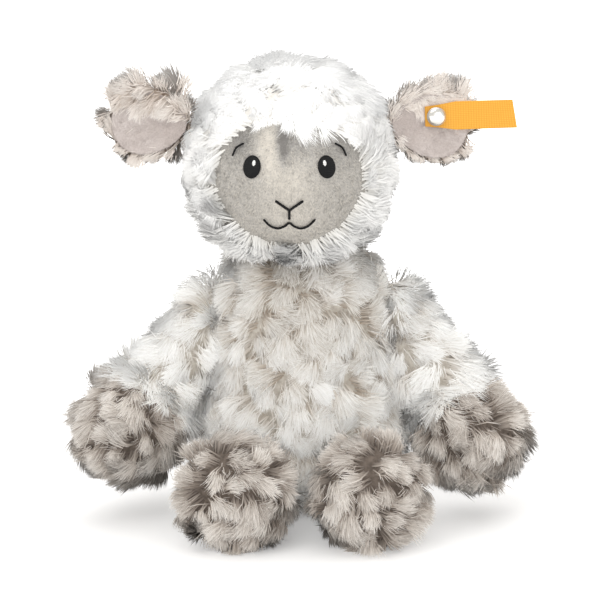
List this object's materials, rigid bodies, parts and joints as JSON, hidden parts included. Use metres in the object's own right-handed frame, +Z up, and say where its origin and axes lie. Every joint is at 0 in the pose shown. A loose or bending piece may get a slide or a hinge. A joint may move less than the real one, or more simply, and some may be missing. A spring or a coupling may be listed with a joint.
{
  "type": "plush sheep",
  "caption": "Seated plush sheep with long curly pile, velour face and ear linings, swinging limbs and a blank ribbon tag riveted to one ear.",
  "frame": {"origin": "middle of the flat that the weight presses into the seat", "axes": "+Z up, the face looks towards -Y, +X to the right of someone facing the toy"},
  "size_m": [0.216, 0.1684, 0.219],
  "materials": {
    "cream_pile": "matte",
    "white_pile": "matte",
    "taupe_pile": "matte",
    "taupe_velour": "matte",
    "pink_velour": "matte",
    "black_thread": "satin",
    "white_thread": "satin",
    "gold_ribbon": "satin",
    "stuffing": "matte",
    "rivet_metal": "polished"
  },
  "bodies": {
    "torso": {"body_cover": "cream_pile", "body_filling": "stuffing"},
    "neck": {"neck_seam": "cream_pile"},
    "head": {"head_cover": "white_pile", "head_filling": "stuffing", "face_panel": "taupe_velour", "eye_left": "black_thread", "eye_right": "black_thread", "eye_glint_left": "white_thread", "eye_glint_right": "white_thread", "brow_left": "black_thread", "brow_right": "black_thread", "nose_stitch": "black_thread", "mouth_stitch": "black_thread"},
    "ear_left": {"ear_back_left": "taupe_pile", "ear_lining_left": "pink_velour"},
    "ear_right": {"ear_back_right": "taupe_pile", "ear_lining_right": "pink_velour", "rivet": "rivet_metal", "rivet_washer": "rivet_metal"},
    "tag": {"ribbon_tag": "gold_ribbon"},
    "arm_left": {"arm_cover_left": "cream_pile", "paw_cover_left": "taupe_pile", "arm_filling_left": "stuffing"},
    "arm_right": {"arm_cover_right": "cream_pile", "paw_cover_right": "taupe_pile", "arm_filling_right": "stuffing"},
    "leg_left": {"leg_cover_left": "cream_pile", "foot_cover_left": "taupe_pile", "leg_filling_left": "stuffing"},
    "leg_right": {"leg_cover_right": "cream_pile", "foot_cover_right": "taupe_pile", "leg_filling_right": "stuffing"},
    "tail": {"tail": "cream_pile"}
  },
  "joints": [
    {"name": "head_turn", "type": "hinge", "parent": "torso", "child": "neck", "pos_m": [0, 0, 0.096], "axis": [0, 0, 1], "range_deg": [-35, 35]},
    {"name": "head_nod", "type": "hinge", "parent": "neck", "child": "head", "pos_m": [0, 0, 0.096], "axis": [1, 0, 0], "range_deg": [-15, 18]},
    {"name": "ear_left_flap", "type": "hinge", "parent": "head", "child": "ear_left", "pos_m": [-0.05273, -0.012, 0.191], "axis": [0.4254, 0, 0.905], "range_deg": [-45, 60]},
    {"name": "ear_right_flap", "type": "hinge", "parent": "head", "child": "ear_right", "pos_m": [0.03973, -0.012, 0.191], "axis": [0.4254, 0, -0.905], "range_deg": [-45, 60]},
    {"name": "tag_turn", "type": "hinge", "parent": "ear_right", "child": "tag", "pos_m": [0.06368, -0.0075, 0.19392], "axis": [0, -1, 0], "range_deg": [-100, 85]},
    {"name": "arm_left_swing", "type": "hinge", "parent": "torso", "child": "arm_left", "pos_m": [-0.04, -0.002, 0.097], "axis": [-0.9848, 0, 0.1736], "range_deg": [-35, 90]},
    {"name": "arm_right_swing", "type": "hinge", "parent": "torso", "child": "arm_right", "pos_m": [0.04, -0.002, 0.097], "axis": [-0.9848, 0, -0.1736], "range_deg": [-35, 90]},
    {"name": "leg_left_swing", "type": "hinge", "parent": "torso", "child": "leg_left", "pos_m": [-0.02705, -0.05002, 0.0223], "axis": [-1, 0, 0], "range_deg": [-60, 25]},
    {"name": "leg_right_swing", "type": "hinge", "parent": "torso", "child": "leg_right", "pos_m": [0.02705, -0.05002, 0.0223], "axis": [-1, 0, 0], "range_deg": [-60, 25]},
    {"name": "tail_lift", "type": "hinge", "parent": "torso", "child": "tail", "pos_m": [0, 0.0518, 0.034], "axis": [1, 0, 0], "range_deg": [-8, 40]}
  ]
}
